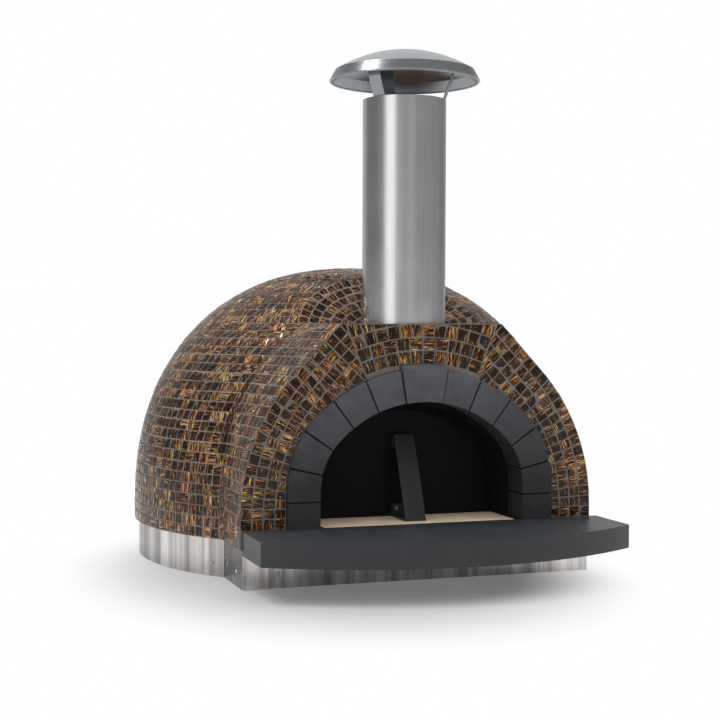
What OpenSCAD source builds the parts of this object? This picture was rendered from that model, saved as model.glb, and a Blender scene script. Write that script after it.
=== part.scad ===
// Wood fired pizza oven: mosaic-clad dome on a round steel base, with a stone
// arch, a front deck, a chimney with a rain cap, and a lift-out steel door.
// Millimetres. +Z is up, +X is the right-hand side seen from the front and the
// mouth looks towards -Y. The origin is on the ground plane, under the middle
// of the mosaic front face.

/* [Base] */
// Width of the steel box under the mouth
box_w = 742; // [730:1:748]
// Radius of the round steel band
band_r = 482; // [478:1:486]
// Height of the steel band
band_h = 77; // [72:1:82]
// Thickness of the steel sheets
sheet = 2; // [1.5:0.5:3]
// Diameter of the lifting bar holes
lift_d = 22; // [18:1:26]

/* [Hearth and landing shelf] */
// Height of the cooking floor and of the shelf top
floor_z = 113.5; // [111:0.5:116]
// Thickness of the shelf
shelf_t = 46.5; // [42:0.5:48]
// Width of the shelf
shelf_w = 764; // [745:1:768]
// How far the shelf sits to the right of the middle
shelf_shift = 10; // [0:1:10]
// Depth of the straight sides of the shelf
shelf_side = 139; // [120:1:160]
// How far the curved front stands out past its corners
shelf_bulge = 113; // [80:1:130]
// Thickness of the firebrick floor
brick_t = 25; // [20:1:30]
// Side of one floor tile
brick_side = 229; // [200:1:240]

/* [Dome] */
// Distance from the front face to the centre of the dome
dome_y = 458; // [454:1:464]
// Outside radius of the dome at its foot
dome_r = 490.5; // [488:0.5:494]
// Height where the dome starts to curve inwards
dome_spring = 120.5; // [116:0.5:130]
// Rise from there to the crown
dome_rise = 518; // [510:1:530]
// How slowly the dome leaves the upright; 2 is an ellipse
rise_power = 2.16; // [2:0.01:2.3]
// How full the dome is at its shoulder; 2 is an ellipse
fall_power = 2.26; // [2:0.01:2.4]
// Inside radius of the oven chamber
chamber_r = 360; // [350:1:364]
// Thickness of the mosaic with its bed
mosaic_t = 5; // [4:0.5:6]

/* [Front] */
// Width of the front face
face_w = 752; // [748:1:758]
// Height of the flat deck under the chimney
deck_z = 514.5; // [510:0.5:520]
// Radius of the curved shoulders of the front face
shoulder_r = 403; // [395:1:410]
// Height where the shoulders start
shoulder_z = 140; // [130:1:150]
// Angle that each shoulder turns through
shoulder_turn = 43.3; // [42:0.1:45]

/* [Arch] */
// Clear width of the mouth
mouth_w = 434; // [420:1:440]
// Radius of the crown of the arch
crown_r = 247; // [240:1:255]
// Radius of the haunches of the arch
haunch_r = 140; // [130:1:150]
// Angle of the crown arc each side of the middle
crown_half = 46; // [44:1:48]
// Height of the stones, from the mouth outwards
stone_h = 66; // [60:1:70]
// Length of the lower stones along the mouth
low_stone = 52.6; // [51:0.1:54]
// Length of the upper stones along the mouth
high_stone = 60.6; // [59:0.1:61]
// Mortar joint between stones
joint_w = 3; // [2:0.5:4]

/* [Chimney] */
// Distance from the front face to the chimney axis
pipe_y = 110.3; // [106:0.1:114]
// Outside radius of the chimney
pipe_r = 86.3; // [84:0.1:88]
// Height of the top of the chimney
pipe_top = 975; // [900:1:1000]
// Wall of the chimney
pipe_wall = 1.5; // [1:0.1:2]
// Radius of the rain cap
cap_r = 155.7; // [150:0.1:165]
// Height of the rim of the cap above the top of the chimney
cap_gap = 39; // [32:1:45]

/* [Door] */
// How much narrower each side of the door is than the mouth
door_inset = 24; // [22:0.5:26]
// Distance from the front face to the front of the door
door_y = 122; // [118:1:124]
// Width of the propping strap
strap_w = 44; // [36:1:50]

/* [Hidden] */
$fn = 96;

steel = "silver";
stone = [0.20, 0.21, 0.22];
tile = [0.36, 0.22, 0.12];
refractory = [0.80, 0.72, 0.60];

// Longer than anything in the oven, and how far a cut runs past a face
far = 1500;
over = 1;

// Clearances: between loose parts, between sliding parts and between parts
// that rest on each other
gap = 0.5;
slip = 0.2;
hair = 0.1;

// Base levels
pan_t = 3;
slab_top = floor_z - shelf_t;
board_top = floor_z - brick_t;
junction_y = dome_y - sqrt(pow(band_r, 2) - pow(box_w / 2, 2));

// Shelf ears: the parts of the shelf that the arch stands on
ear_w = 124;
ear_in = mouth_w / 2 + gap;
ear_out = mouth_w / 2 + ear_w;
ear_y = 58;

// Arch: the crown arc, the haunch arcs and the straight legs share tangents
mouth_half = mouth_w / 2;
haunch_x = mouth_half - haunch_r;
mouth_h = 245.5;
crown_z = floor_z + mouth_h - crown_r;
haunch_z = crown_z + (crown_r - haunch_r) * cos(crown_half);
leg_len = haunch_z - floor_z;
haunch_turn = 90 - crown_half;
haunch_len = haunch_r * haunch_turn * PI / 180;
arch_half_len = leg_len + haunch_len + crown_r * crown_half * PI / 180;
low_stones = 3;
high_stones = 3;
stone_front = -12;
stone_back = 60;
key_drop = 9;
key_proud = 5;
mortar_recess = 6;

// Entry vault: wide in front of the door, narrower behind it
vault_inset = 11;
vault_outer = 45;
vault_back = 216;
inner_inset = 36;

// Door
door_t = 3;
core_t = 26;
core_inset = inner_inset + 4;
seat_gap = 0.3;
door_foot = floor_z + seat_gap;
rebate_y = door_y + door_t + seat_gap;

// Front face
shoulder_x = face_w / 2 - shoulder_r;

// Deck and the leaning patch behind it
patch_y = 184;
patch_lean = 1;

// Flue
flange_r = pipe_r + 14;
flange_t = 3;
flue_top = deck_z - mosaic_t - flange_t;
spigot_r = pipe_r - pipe_wall - slip;
flue_wall = 3;
flue_half = 92;
neck_half = 80;
neck_y = [stone_back + 3, door_y - 4];
neck_z = floor_z + 150;
flue_y = [18, 200];
flue_floor = 442;
spigot_h = 45;
pipe_foot = deck_z + hair;

// Cap
cap_rim_z = pipe_top + cap_gap;
cap_skirt_in = 11.7;
cap_skirt_h = 22;
cap_crown_h = 41.5;
cap_ridge_r = cap_r - cap_skirt_in;
cap_ridge_z = cap_rim_z + cap_skirt_h;
cap_top_z = cap_ridge_z + cap_crown_h;
cap_t = 1.2;
cap_strap_t = 2;
cap_strap_w = 30;
cap_strap_turns = [-29, 91, 211];

// ---------------------------------------------------------------- outlines

// A point of the right half of the mouth, by its length from the floor up the
// outline and its distance outwards from it
function arch_pt(s, off) =
    s < leg_len ? [mouth_half + off, floor_z + s]
    : s < leg_len + haunch_len
        ? let (a = (s - leg_len) / haunch_r * 180 / PI)
            [haunch_x + (haunch_r + off) * cos(a),
             haunch_z + (haunch_r + off) * sin(a)]
        : let (a = haunch_turn + (s - leg_len - haunch_len) / crown_r * 180 / PI)
            [(crown_r + off) * cos(a), crown_z + (crown_r + off) * sin(a)];

function arch_half(off, steps = 24) =
    [for (k = [0:steps])
        arch_pt(leg_len + (arch_half_len - leg_len) * k / steps, off)];

function flip_x(pts) = [for (k = [len(pts) - 1:-1:0]) [-pts[k][0], pts[k][1]]];

// The whole mouth, moved outwards by off, with its legs down to foot
module arch_2d(off, foot) {
    right = arch_half(off);
    left = flip_x([for (k = [0:len(right) - 2]) right[k]]);
    polygon(concat([[mouth_half + off, foot]], right, left, [[-mouth_half - off, foot]]));
}

// Right half of the front face, inset by i, from the foot up to the deck
function face_half(i, foot, steps = 10, slope_steps = 4) =
    let (end = [shoulder_x + (shoulder_r - i) * cos(shoulder_turn),
                shoulder_z + (shoulder_r - i) * sin(shoulder_turn)],
         rise = (deck_z - i - end[1]) / slope_steps)
    concat(
        [[face_w / 2 - i, foot]],
        [for (k = [0:steps]) let (a = shoulder_turn * k / steps)
            [shoulder_x + (shoulder_r - i) * cos(a),
             shoulder_z + (shoulder_r - i) * sin(a)]],
        [for (k = [1:slope_steps]) end + rise * k * [-tan(shoulder_turn), 1]]);

// Radius of the dome at a height, inset by i
function dome_rad(z, i) =
    let (t = min(1, max(0, (z - dome_spring) / (dome_rise - i))))
    (dome_r - i) * pow(max(0, 1 - pow(t, rise_power)), 1 / fall_power);

// Radius of an inner layer: upright to its spring, then an ellipse
function layer_pts(r, foot, top, steps = 12) = concat(
    [[0, foot], [r, foot]],
    [for (k = [0:steps - 1]) let (a = 90 * k / steps)
        [r * cos(a), dome_spring + (top - dome_spring) * sin(a)]],
    [[0, top]]);

// ------------------------------------------------------------ shared solids

// Extrudes a drawing of the front view (x, z) from y0 back to y1
module front_slab(y0, y1)
    translate([0, y1, 0])
        rotate([90, 0, 0])
            linear_extrude(y1 - y0)
                children();

// Extrudes a drawing of the side view (y, z) over a width w, centred on x = 0
module side_slab(w)
    rotate([90, 0, 90])
        linear_extrude(w, center = true)
            children();

module at_dome() translate([0, dome_y, 0]) children();

module layer(r, foot, top)
    at_dome()
        rotate_extrude()
            polygon(layer_pts(r, foot, top));

module box(x0, x1, y0, y1, z0, z1)
    translate([x0, y0, z0])
        cube([x1 - x0, y1 - y0, z1 - z0]);

// Plan of the base: a disc with a straight-sided nose under the mouth
module base_2d(inset) {
    difference() {
        translate([0, dome_y])
            circle(r = band_r - inset);
        translate([-far, -far])
            square([2 * far, far + inset]);
    }
    translate([-box_w / 2 + inset, inset])
        square([box_w - 2 * inset, dome_y - inset]);
}

module outer_dome(i, foot) {
    steps = 16;
    turned = [for (k = [0:steps - 1])
        let (z = dome_spring + (dome_rise - i) * sin(90 * k / steps))
        [dome_rad(z, i), z]];
    at_dome()
        rotate_extrude()
            polygon(concat([[0, foot], [dome_r - i, foot]], turned,
                [[0, dome_spring + dome_rise - i]]));
}

// The hood: sides ruled from the front face back to the dome
module outer_hood(i, foot) {
    seam_foot = 137;
    seam_lean = 0.09;
    back_y = dome_y - 100;
    front = face_half(i, foot);
    m = len(front);
    seam = [for (p = front)
        let (y = seam_foot + seam_lean * (p[1] - band_h),
            reach = pow(dome_rad(p[1], i), 2) - pow(dome_y - y, 2))
        [max(p[0], sqrt(max(0, reach))), y, p[1]]];
    rings = [
        [for (p = front) [p[0], 0, p[1]]],
        seam,
        [for (p = seam) [p[0], back_y, p[2]]]];
    loops = [for (ring = rings)
        concat(ring, [for (k = [m - 1:-1:0]) [-ring[k][0], ring[k][1], ring[k][2]]])];
    n = 2 * m;
    polyhedron(
        points = concat(loops[0], loops[1], loops[2]),
        faces = concat(
            [[for (k = [n - 1:-1:0]) k]],
            [[for (k = [0:n - 1]) 2 * n + k]],
            [for (r = [0, 1], k = [0:n - 1]) let (j = (k + 1) % n)
                [r * n + k, (r + 1) * n + j, (r + 1) * n + k]],
            [for (r = [0, 1], k = [0:n - 1]) let (j = (k + 1) % n)
                [r * n + k, r * n + j, (r + 1) * n + j]]));
}

// Everything above the deck and in front of the leaning patch
module above_deck(i) {
    rise = 400;
    edge = i * (sqrt(1 + pow(patch_lean, 2)) - 1) / patch_lean;
    side_slab(far)
        polygon([[-far, deck_z - i], [patch_y + edge, deck_z - i],
            [patch_y + edge + rise * patch_lean, deck_z - i + rise],
            [-far, deck_z - i + rise]]);
}

// The whole body of the oven, inset by i from the finished surface
module body(i, foot) {
    difference() {
        union() {
            outer_dome(i, foot);
            outer_hood(i, foot);
        }
        above_deck(i);
        box(-far, far, -far, i, -over, far);
    }
}

// Ground plan of the cooking floor: the chamber and the entry tongue
module floor_2d(clear) {
    tongue_back = 200;
    translate([0, dome_y])
        circle(r = chamber_r - clear);
    centred_strip(mouth_half - inner_inset - clear, tongue_back);
    centred_strip(mouth_half - vault_inset - clear, door_y);
}

// A rectangle from -reach to reach across, and from 0 to length
module centred_strip(reach, length)
    translate([-reach, 0])
        square([2 * reach, length]);

// ------------------------------------------------------------------- base

module base_pan()
    color("dimgray")
        linear_extrude(pan_t)
            base_2d(sheet + slip);

module base_band()
    color(steel)
        difference() {
            at_dome()
                cylinder(r = band_r, h = band_h);
            at_dome()
                translate([0, 0, -over])
                    cylinder(r = band_r - sheet, h = band_h + 2 * over);
            box(-far, far, -far, junction_y + gap, -over, far);
            at_band_screws()
                screw_hole();
        }

module front_skirt()
    color(steel)
        difference() {
            union() {
                box(-box_w / 2, box_w / 2, 0, sheet, 0, slab_top - gap);
                for (side = [0, 1])
                    mirror([side, 0, 0])
                        box(box_w / 2 - sheet, box_w / 2, 0, junction_y, 0, band_h);
            }
            lift_holes();
            at_skirt_screws()
                screw_hole();
        }

lift_y = 128;
lift_z = 37.5;
lift_depth = 80;

// The two blind holes that take a lifting bar, one from each side
module lift_holes()
    for (side = [-1, 1])
        translate([side * (box_w / 2 + over), lift_y, lift_z])
            rotate([0, -90 * side, 0])
                cylinder(d = lift_d, h = lift_depth + over);

screw_r = 2;
screw_len = 24;
screw_head_r = 4;
screw_head_h = 2;
skirt_screw_y = 47;
skirt_screw_z = 28.5;
band_screw_turn = 216;
band_screw_z = 26;
front_screw_x = 300;

// Places its children with +Z out of the band, at the screws beside the nose
module at_band_screws()
    for (turn = [band_screw_turn, 540 - band_screw_turn])
        at_dome()
            rotate([0, 0, turn])
                translate([band_r, 0, band_screw_z])
                    rotate([0, 90, 0])
                        children();

// Places its children with +Z out of the skirt, at its screws
module at_skirt_screws() {
    for (side = [-1, 1])
        translate([side * box_w / 2, skirt_screw_y, skirt_screw_z])
            rotate([0, 90 * side, 0])
                children();
    for (side = [-1, 1])
        translate([side * front_screw_x, 0, skirt_screw_z])
            rotate([90, 0, 0])
                children();
}

module screw_hole()
    translate([0, 0, -sheet - over])
        cylinder(r = screw_r, h = sheet + 2 * over, $fn = 24);

// A pan head screw with its head sitting on the sheet
module base_screw() {
    head_top_r = 0.7 * screw_head_r;
    cylinder(r1 = screw_head_r, r2 = head_top_r, h = screw_head_h, $fn = 24);
    translate([0, 0, -screw_len])
        cylinder(r = screw_r, h = screw_len + screw_head_h / 2, $fn = 24);
}

module base_screws()
    color("gray") {
        at_band_screws()
            base_screw();
        at_skirt_screws()
            base_screw();
    }

// The insulating slab, with a round pocket for the dome and room for the ears
module base_slab() {
    pocket_r = 457;
    ear_room_y = 260;
    color("lightgray")
        difference() {
            translate([0, 0, pan_t])
                linear_extrude(band_h - pan_t)
                    base_2d(sheet + slip);
            translate([0, dome_y, slab_top])
                cylinder(r = pocket_r, h = far);
            box(-ear_out - gap, ear_out + gap, -over, ear_room_y, slab_top, far);
            lift_holes();
        }
}

floor_clear = 1;

module hearth_board()
    color("ivory")
        translate([0, 0, slab_top])
            linear_extrude(board_top - slab_top)
                floor_2d(floor_clear);

module hearth_tiles() {
    tile_joint = 1.5;
    pitch = brick_side + tile_joint;
    first_y = dome_y - 2 * pitch;
    color([0.82, 0.70, 0.55])
        translate([0, 0, board_top])
            linear_extrude(brick_t)
                intersection() {
                    floor_2d(floor_clear);
                    for (col = [-2:1], row = [0:3])
                        translate([col * pitch + tile_joint / 2, first_y + row * pitch])
                            square(brick_side);
                }
}

// The cast landing: a curved slab with two ears that the arch stands on
module landing_shelf() {
    chord = shelf_w / 2;
    front_r = (pow(chord, 2) + pow(shelf_bulge, 2)) / (2 * shelf_bulge);
    color([0.18, 0.20, 0.23])
        translate([0, 0, slab_top])
            linear_extrude(shelf_t) {
                intersection() {
                    translate([shelf_shift, front_r - shelf_side - shelf_bulge])
                        circle(r = front_r, $fn = 256);
                    translate([shelf_shift - chord, -far])
                        square([2 * chord, far]);
                }
                for (side = [0, 1])
                    mirror([side, 0, 0])
                        translate([ear_in, -over])
                            square([ear_out - ear_in, ear_y + over]);
            }
}

// -------------------------------------------------------------- refractory

dome_wall = 50;
blanket_r = 455;
chamber_top = 455;
wall_top = 505;
blanket_top = 575;

module chamber_space()
    layer(chamber_r, slab_top - over, chamber_top);

// The tunnel through the front of the dome that the vault fills
module vault_space(grow)
    front_slab(-far, vault_back + grow)
        arch_2d(vault_outer + grow, -over);

module inner_dome()
    color(refractory)
        difference() {
            layer(chamber_r + dome_wall, slab_top, wall_top);
            chamber_space();
            vault_space(0);
        }

module entry_vault()
    color([0.72, 0.66, 0.56])
        difference() {
            front_slab(stone_back + gap, vault_back)
                arch_2d(vault_outer, slab_top);
            front_slab(-over, rebate_y)
                arch_2d(-vault_inset, -over);
            front_slab(rebate_y - over, far)
                arch_2d(-inner_inset, -over);
            chamber_space();
            box(-neck_half + flue_wall, neck_half - flue_wall,
                neck_y[0] + flue_wall, neck_y[1] - flue_wall, neck_z, far);
        }

module dome_blanket()
    color("white")
        difference() {
            layer(blanket_r, slab_top, blanket_top);
            layer(chamber_r + dome_wall + gap, slab_top - over, wall_top + gap);
            vault_space(gap);
            box(-ear_out - gap, ear_out + gap, -far, stone_back + 2 * gap, -over, floor_z + gap);
            flue_space(2 * gap);
        }

module outer_render()
    color("gray")
        difference() {
            body(mosaic_t, slab_top);
            box(-far, far, -far, far, -over, band_h);
            layer(blanket_r + gap, slab_top - over, blanket_top + gap);
            vault_space(gap);
            stone_space();
            box(-ear_out - gap, ear_out + gap, -far, ear_y + gap, -over, floor_z + gap);
            flue_space(0);
            translate([0, pipe_y, flue_top - hair])
                cylinder(r = flange_r, h = far);
        }

stone_room = 1;

// Room in the face for the ring of stones
module stone_space() {
    front_slab(-far, stone_back + gap)
        arch_2d(stone_h + stone_room, floor_z - over);
    front_slab(-far, stone_back + gap)
        key_2d(stone_room);
}

// ------------------------------------------------------------------ mosaic

module mosaic()
    difference() {
        body(0, band_h);
        body(mosaic_t, band_h - over);
    }

module dome_mosaic()
    color(tile)
        difference() {
            mosaic();
            above_deck(mosaic_t);
            box(-far, far, -far, mosaic_t, -over, far);
        }

module deck_mosaic()
    color(tile)
        difference() {
            intersection() {
                body(0, band_h);
                above_deck(mosaic_t);
            }
            box(-far, far, -far, mosaic_t, -over, far);
            translate([0, pipe_y, deck_z - 2 * mosaic_t])
                cylinder(r = pipe_r - pipe_wall + slip, h = far);
            translate([0, pipe_y, (deck_z + pipe_foot) / 2])
                cylinder(r = pipe_r + gap, h = far);
        }

module face_mosaic() {
    right = face_half(0, band_h);
    color(tile)
        front_slab(0, mosaic_t)
            difference() {
                polygon(concat(right, flip_x(right)));
                arch_2d(stone_h + stone_room, -over);
                key_2d(stone_room);
                centred_strip(ear_out + gap, floor_z + gap);
            }
}

// ------------------------------------------------------------------- arch

// One stone between two lengths along the mouth
function stone_pts(s0, s1, off, steps = 5) = concat(
    [for (k = [0:steps]) arch_pt(s0 + (s1 - s0) * k / steps, 0)],
    [for (k = [steps:-1:0]) arch_pt(s0 + (s1 - s0) * k / steps, off)]);

// Length along the mouth where stone n starts, counted from the floor
function stone_start(n) =
    low_stone * min(n - 1, low_stones) + high_stone * max(0, n - 1 - low_stones);

key_number = low_stones + high_stones + 1;
key_start = stone_start(key_number);

// Points over the crown of the arch, from length s on the right to s on the left
function over_crown(s, off, steps = 5) =
    let (right = [for (k = [0:steps]) arch_pt(s + (arch_half_len - s) * k / steps, off)])
    concat([for (k = [0:steps - 1]) right[k]], flip_x(right));

function backwards(pts) = [for (k = [len(pts) - 1:-1:0]) pts[k]];

module key_2d(grow) {
    start = key_start + joint_w / 2 - grow;
    polygon(concat(over_crown(start, 0),
        backwards(over_crown(start, stone_h + key_drop + grow))));
}

module stone_2d(n)
    polygon(stone_pts(stone_start(n) + (n == 1 ? 0 : joint_w / 2),
        stone_start(n + 1) - joint_w / 2, stone_h));

module arch_stone(side, n)
    color(stone)
        mirror([side < 0 ? 1 : 0, 0, 0])
            front_slab(stone_front, stone_back)
                stone_2d(n);

module arch_keystone()
    color(stone)
        front_slab(stone_front - key_proud, stone_back)
            key_2d(0);

module arch_mortar() {
    w = joint_w / 2 - hair;
    outer = stone_h - 2;
    color("dimgray")
        for (side = [0, 1], n = [2:key_number])
            mirror([side, 0, 0])
                front_slab(stone_front + mortar_recess, stone_back)
                    polygon([
                        arch_pt(stone_start(n) - w, mortar_recess),
                        arch_pt(stone_start(n) + w, mortar_recess),
                        arch_pt(stone_start(n) + w, outer),
                        arch_pt(stone_start(n) - w, outer)]);
}

// ------------------------------------------------------------------- flue

// The outside of the smoke box, grown by g
module flue_space(g) {
    box(-flue_half - g, flue_half + g, flue_y[0] - g, flue_y[1] + g, flue_floor - g, flue_top + g);
    box(-neck_half - g, neck_half + g, neck_y[0] - g, neck_y[1] + g, neck_z, flue_floor);
}

module flue_box() {
    w = flue_wall;
    color("darkgray")
        difference() {
            flue_space(0);
            box(-flue_half + w, flue_half - w, flue_y[0] + w, flue_y[1] - w,
                flue_floor + w, flue_top - w);
            box(-neck_half + w, neck_half - w, neck_y[0] + w, neck_y[1] - w,
                floor_z, flue_floor + 2 * w);
            translate([0, pipe_y, flue_floor + 2 * w])
                cylinder(r = spigot_r - w, h = far);
            front_slab(-far, far)
                arch_2d(vault_outer + hair, -over);
        }
}

module flue_collar()
    color("darkgray")
        translate([0, pipe_y, flue_top])
            difference() {
                union() {
                    cylinder(r = flange_r, h = flange_t);
                    cylinder(r = spigot_r, h = flange_t + mosaic_t + spigot_h);
                }
                translate([0, 0, -over])
                    cylinder(r = spigot_r - flue_wall, h = far);
            }

module chimney_pipe()
    color(steel)
        translate([0, pipe_y, pipe_foot])
            difference() {
                cylinder(r = pipe_r, h = pipe_top - pipe_foot);
                translate([0, 0, -over])
                    cylinder(r = pipe_r - pipe_wall, h = far);
            }

// --------------------------------------------------------------- rain cap

// Height of the top of the cap at radius r, inside its ridge
function cap_z(r) = cap_ridge_z + (cap_top_z - cap_ridge_z) * (1 - pow(r / cap_ridge_r, 2));

module cap_hood() {
    steps = 10;
    bead_r = 2.2;
    top = [for (k = [0:steps]) let (r = cap_ridge_r * k / steps) [r, cap_z(r)]];
    color(steel)
        translate([0, pipe_y, 0])
            rotate_extrude()
                polygon(concat(top,
                    [for (turn = [60:-30:-210])
                        [cap_r - bead_r + bead_r * cos(turn), cap_rim_z + bead_r * sin(turn)]],
                    [for (k = [steps:-1:0]) let (r = (cap_ridge_r - cap_t) * k / steps)
                        [r, cap_z(r * cap_ridge_r / (cap_ridge_r - cap_t)) - cap_t]]));
}

// One strap in its own radial plane: a leg inside the pipe, a splayed arm and
// a pad under the cap
module cap_strap() {
    t = cap_strap_t;
    leg_r = sqrt(pow(pipe_r - pipe_wall - slip, 2) - pow(cap_strap_w / 2, 2));
    leg_foot = pipe_top - 42;
    leg_top = pipe_top + 1;
    bend_r = leg_r + 15;
    bend_z = pipe_top + 40;
    end_r = bend_r + 6;
    pad_in = end_r - 26;
    pad_z = cap_z(end_r + 2 * t) - cap_t - gap;
    rotate([90, 0, 0])
        linear_extrude(cap_strap_w, center = true)
            polygon([
                [leg_r, leg_foot], [leg_r, leg_top], [bend_r, bend_z], [end_r, pad_z],
                [pad_in, pad_z], [pad_in, pad_z - t],
                [end_r - t, pad_z - t], [bend_r - t, bend_z],
                [leg_r - t, leg_top], [leg_r - t, leg_foot]]);
}

module cap_straps()
    color("lightgray")
        for (turn = cap_strap_turns)
            translate([0, pipe_y, 0])
                rotate([0, 0, turn])
                    cap_strap();

// ------------------------------------------------------------------- door

module door_panel()
    color([0.08, 0.08, 0.09])
        front_slab(door_y, door_y + door_t)
            arch_2d(-door_inset, door_foot);

module door_core()
    color("dimgray")
        front_slab(door_y + door_t, door_y + door_t + core_t)
            arch_2d(-core_inset, door_foot + over);

prop_top = 285;
prop_foot_y = 32;
prop_head_y = 106;
prop_back = door_y - hair;
prop_t = 4;
lug_h = 26;

// The bent strap that props the door and serves as its handle
module door_strap() {
    t = prop_t;
    lean = atan2(prop_top - door_foot, prop_head_y - prop_foot_y);
    side_t = t / sin(lean);
    shift = t / tan(lean);
    color([0.14, 0.14, 0.16])
        side_slab(strap_w)
            difference() {
                polygon([[prop_back, door_foot], [prop_foot_y, door_foot],
                    [prop_head_y, prop_top], [prop_back, prop_top]]);
                polygon([[prop_back - t, door_foot + t],
                    [prop_foot_y + shift + side_t, door_foot + t],
                    [prop_head_y - shift + side_t, prop_top - t],
                    [prop_back - t, prop_top - t]]);
                translate([prop_back - t - over, door_foot + lug_h])
                    square([t + 2 * over, prop_top - door_foot - 2 * lug_h]);
            }
}

module door_bolts() {
    head_r = 5;
    head_h = 3;
    bolt_x = 12;
    from_end = lug_h - 9;
    color("dimgray")
        for (x = [-bolt_x, bolt_x], z = [door_foot + from_end, prop_top - from_end])
            translate([x, prop_back - prop_t, z])
                rotate([90, 0, 0])
                    cylinder(r = head_r, h = head_h, $fn = 32);
}

// ---------------------------------------------------------------- assembly

base_pan();
base_band();
front_skirt();
base_screws();
base_slab();
hearth_board();
hearth_tiles();
landing_shelf();
inner_dome();
entry_vault();
dome_blanket();
outer_render();
dome_mosaic();
deck_mosaic();
face_mosaic();
arch_keystone();
arch_mortar();
arch_stone(1, 1);  // arch_stone_r1
arch_stone(1, 2);  // arch_stone_r2
arch_stone(1, 3);  // arch_stone_r3
arch_stone(1, 4);  // arch_stone_r4
arch_stone(1, 5);  // arch_stone_r5
arch_stone(1, 6);  // arch_stone_r6
arch_stone(-1, 1);  // arch_stone_l1
arch_stone(-1, 2);  // arch_stone_l2
arch_stone(-1, 3);  // arch_stone_l3
arch_stone(-1, 4);  // arch_stone_l4
arch_stone(-1, 5);  // arch_stone_l5
arch_stone(-1, 6);  // arch_stone_l6
flue_box();
flue_collar();
chimney_pipe();
cap_hood();
cap_straps();
door_panel();
door_core();
door_strap();
door_bolts();
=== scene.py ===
"""Looks of the mosaic-clad wood fired oven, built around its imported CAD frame. Metres, +Z up."""

import math

import bpy
import numpy as np
from mathutils import Matrix, Vector
from mathutils.bvhtree import BVHTree


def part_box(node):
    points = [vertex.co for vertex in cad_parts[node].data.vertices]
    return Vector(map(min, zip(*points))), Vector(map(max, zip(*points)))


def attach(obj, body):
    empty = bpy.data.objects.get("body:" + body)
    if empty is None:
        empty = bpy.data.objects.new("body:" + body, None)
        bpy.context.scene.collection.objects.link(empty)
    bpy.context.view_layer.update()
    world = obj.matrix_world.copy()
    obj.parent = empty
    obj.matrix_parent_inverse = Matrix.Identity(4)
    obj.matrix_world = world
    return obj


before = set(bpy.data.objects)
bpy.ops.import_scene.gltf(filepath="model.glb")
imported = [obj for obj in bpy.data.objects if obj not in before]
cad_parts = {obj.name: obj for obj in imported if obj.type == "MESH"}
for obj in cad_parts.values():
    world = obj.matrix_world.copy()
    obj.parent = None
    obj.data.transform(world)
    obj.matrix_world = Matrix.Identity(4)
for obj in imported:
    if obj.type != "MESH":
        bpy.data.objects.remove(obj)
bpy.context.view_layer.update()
rng = np.random.default_rng(7)
MM = 0.001

# ------------------------------------------------------------------ sizes from the frame

band_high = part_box("base_band")[1]
dome_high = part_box("dome_mosaic")[1]
face_low, face_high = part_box("face_mosaic")
pipe_low, pipe_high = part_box("chimney_pipe")
stone_low, stone_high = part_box("arch_stone_r1")

BAND_H = band_high.z
DOME_Y = band_high.y - band_high.x
FLOOR_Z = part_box("landing_shelf")[1].z
FACE_HALF = face_high.x
FACE_Y = face_low.y
DECK_Z = face_high.z
PIPE_R = pipe_high.x
PIPE_Y = (pipe_low.y + pipe_high.y) / 2

# The dome: upright to its spring, then a flattened quarter curve up to the crown
DOME_R = dome_high.y - DOME_Y
DOME_SPRING = 120.5 * MM
DOME_RISE = dome_high.z - DOME_SPRING
RISE_POWER = 2.16
FALL_POWER = 2.26

# The front face: straight sides, curved shoulders and straight slopes up to the deck
SHOULDER_R = 403 * MM
SHOULDER_Z = 140 * MM
SHOULDER_TURN = math.radians(43.3)
SHOULDER_X = FACE_HALF - SHOULDER_R
SHOULDER_END = SHOULDER_Z + SHOULDER_R * math.sin(SHOULDER_TURN)

# The hood meets the dome along a seam that leans back a little, and its flat deck ends at a
# patch that leans back at 45 degrees
SEAM_FOOT = 137 * MM
SEAM_LEAN = 0.09
PATCH_Y = 184 * MM
PATCH_LEAN = 1.0

# The arch: straight legs, haunches and a crown
MOUTH_HALF = stone_low.x
STONE_H = stone_high.x - stone_low.x
HAUNCH_R = 140 * MM
HAUNCH_X = MOUTH_HALF - HAUNCH_R
CROWN_R = 247 * MM
CROWN_HALF = math.radians(46)
CROWN_Z = 112 * MM
HAUNCH_Z = CROWN_Z + (CROWN_R - HAUNCH_R) * math.cos(CROWN_HALF)

# The mosaic: the pitch of the glass squares on the dome, along the face's edge and over the arch
PITCH = 21.8 * MM
FACE_PITCH = 23.2 * MM
RING_PITCH = 26.6 * MM
# Width of the joints, how far a square stands out of the grout and reaches into it, and how far
# the mosaic stops short of the stones and the pipe
GROUT = 2.2 * MM
PROUD = 0.5 * MM
DEEP = 2.6 * MM
EDGE_GAP = 1 * MM
KEY_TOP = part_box("arch_keystone")[1].z + EDGE_GAP
# The soft edge of a square, as (distance in from its outline, height under its top)
SOFT_EDGE = ((1.5 * MM, 0), (0.45 * MM, 0.35 * MM), (0, 1.1 * MM))
# Squares with less reach than this from their middle to an edge have a smaller soft edge
FULL_REACH = 7 * MM
# The narrowest sliver that is still laid, and corners closer than this count as one
SMALLEST = 2.6 * MM
SAME_CORNER = 0.3 * MM
# How unevenly the squares lie, in radians and in height, and the share laid a quarter turn round
TILT = 0.026
UNEVEN = 0.12 * MM
TURNED = 0.32
# Courses stop at this radius round the crown, and a small grid closes it, cut to a circle
CROWN_EDGE = 1.2 * PITCH
CROWN_CUTS = 12
CROWN_SINK = 0.3 * MM
DECK_ROWS = 8
DECK_COLUMNS = 17
PATCH_ROWS = 6
FACE_ROWS = 9
RING_ROWS = 5
# The rings over the arch start at this angle above the middle of its crown curve
RINGS_FROM = math.radians(68)
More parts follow.
